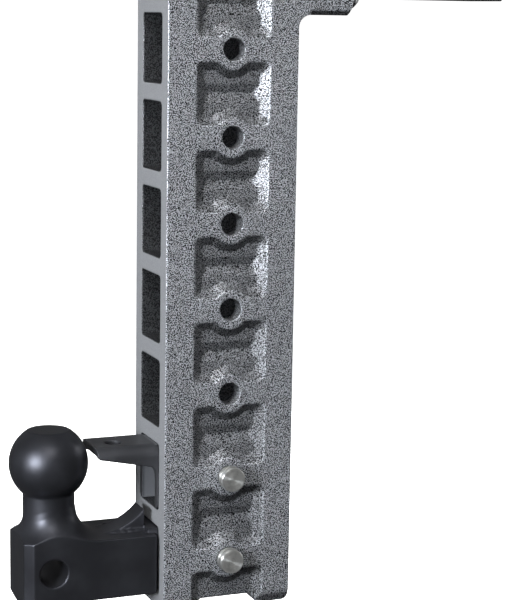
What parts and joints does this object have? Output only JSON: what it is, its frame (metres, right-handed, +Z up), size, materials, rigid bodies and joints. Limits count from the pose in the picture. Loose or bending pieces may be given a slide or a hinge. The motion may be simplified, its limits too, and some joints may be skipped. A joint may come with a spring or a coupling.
{
  "type": "adjustable trailer hitch with ball",
  "caption": "Tall cast drop hitch with stacked receivers and pinned dual-ball mount, pintle-lock bracket and keyed locking pins on a solid square shank.",
  "frame": {"origin": "on the shank's axis, at the centre of its hitch-pin hole", "axes": "+X forward into the tow vehicle's receiver, +Z up, +Y to the vehicle's left, where the key locks are"},
  "size_m": [0.3875, 0.1221, 0.5805],
  "materials": {
    "hammertone": "grey and black hammertone coat, satin",
    "forging_black": "satin black coat on a forging",
    "plate_black": "satin black coat on folded plate",
    "stainless": "turned stainless steel",
    "black_oxide": "blackened turned steel",
    "brass": "machined brass",
    "rubber": "matt black rubber"
  },
  "bodies": {
    "column": {"receiver_column": "hammertone", "shank": "hammertone", "shank_weld": "hammertone", "dual_ball_mount": "forging_black", "pintle_lock": "plate_black"},
    "upper_pin": {"upper_pin": "stainless"},
    "upper_lock": {"upper_lock_body": "black_oxide", "upper_lock_seal": "rubber", "upper_retaining_pin": "stainless"},
    "upper_key": {"upper_key_cylinder": "brass"},
    "upper_pawl": {"upper_lock_pawl": "stainless"},
    "upper_cap": {"upper_dust_cap": "rubber"},
    "lower_pin": {"lower_pin": "stainless"},
    "lower_lock": {"lower_lock_body": "black_oxide", "lower_lock_seal": "rubber", "lower_retaining_pin": "stainless"},
    "lower_key": {"lower_key_cylinder": "brass"},
    "lower_pawl": {"lower_lock_pawl": "stainless"},
    "lower_cap": {"lower_dust_cap": "rubber"}
  },
  "joints": [
    {"name": "upper_pin_pull", "type": "slide", "parent": "column", "child": "upper_pin", "axis": [0, -1, 0], "range_m": [0, 0.11]},
    {"name": "upper_lock_pull", "type": "slide", "parent": "column", "child": "upper_lock", "axis": [0, 1, 0], "range_m": [0, 0.05]},
    {"name": "upper_key_turn", "type": "hinge", "parent": "upper_lock", "child": "upper_key", "pos_m": [-0.1651, 0.05, -0.381], "axis": [0, 1, 0], "range_deg": [0, 90]},
    {"name": "upper_pawl_slide", "type": "slide", "parent": "upper_lock", "child": "upper_pawl", "axis": [0, 0, -1], "range_m": [0, 0.0018]},
    {"name": "upper_cap_pull", "type": "slide", "parent": "upper_lock", "child": "upper_cap", "axis": [0, 1, 0], "range_m": [0, 0.03]},
    {"name": "lower_pin_pull", "type": "slide", "parent": "column", "child": "lower_pin", "axis": [0, -1, 0], "range_m": [0, 0.11]},
    {"name": "lower_lock_pull", "type": "slide", "parent": "column", "child": "lower_lock", "axis": [0, 1, 0], "range_m": [0, 0.05]},
    {"name": "lower_key_turn", "type": "hinge", "parent": "lower_lock", "child": "lower_key", "pos_m": [-0.1651, 0.05, -0.4445], "axis": [0, 1, 0], "range_deg": [0, 90]},
    {"name": "lower_pawl_slide", "type": "slide", "parent": "lower_lock", "child": "lower_pawl", "axis": [0, 0, -1], "range_m": [0, 0.0018]},
    {"name": "lower_cap_pull", "type": "slide", "parent": "lower_lock", "child": "lower_cap", "axis": [0, 1, 0], "range_m": [0, 0.03]}
  ],
  "couplings": [
    {"joint": "upper_pawl_slide", "follows": "upper_key_turn", "m_per_rad": 0.0011448},
    {"joint": "lower_pawl_slide", "follows": "lower_key_turn", "m_per_rad": 0.0011448}
  ]
}
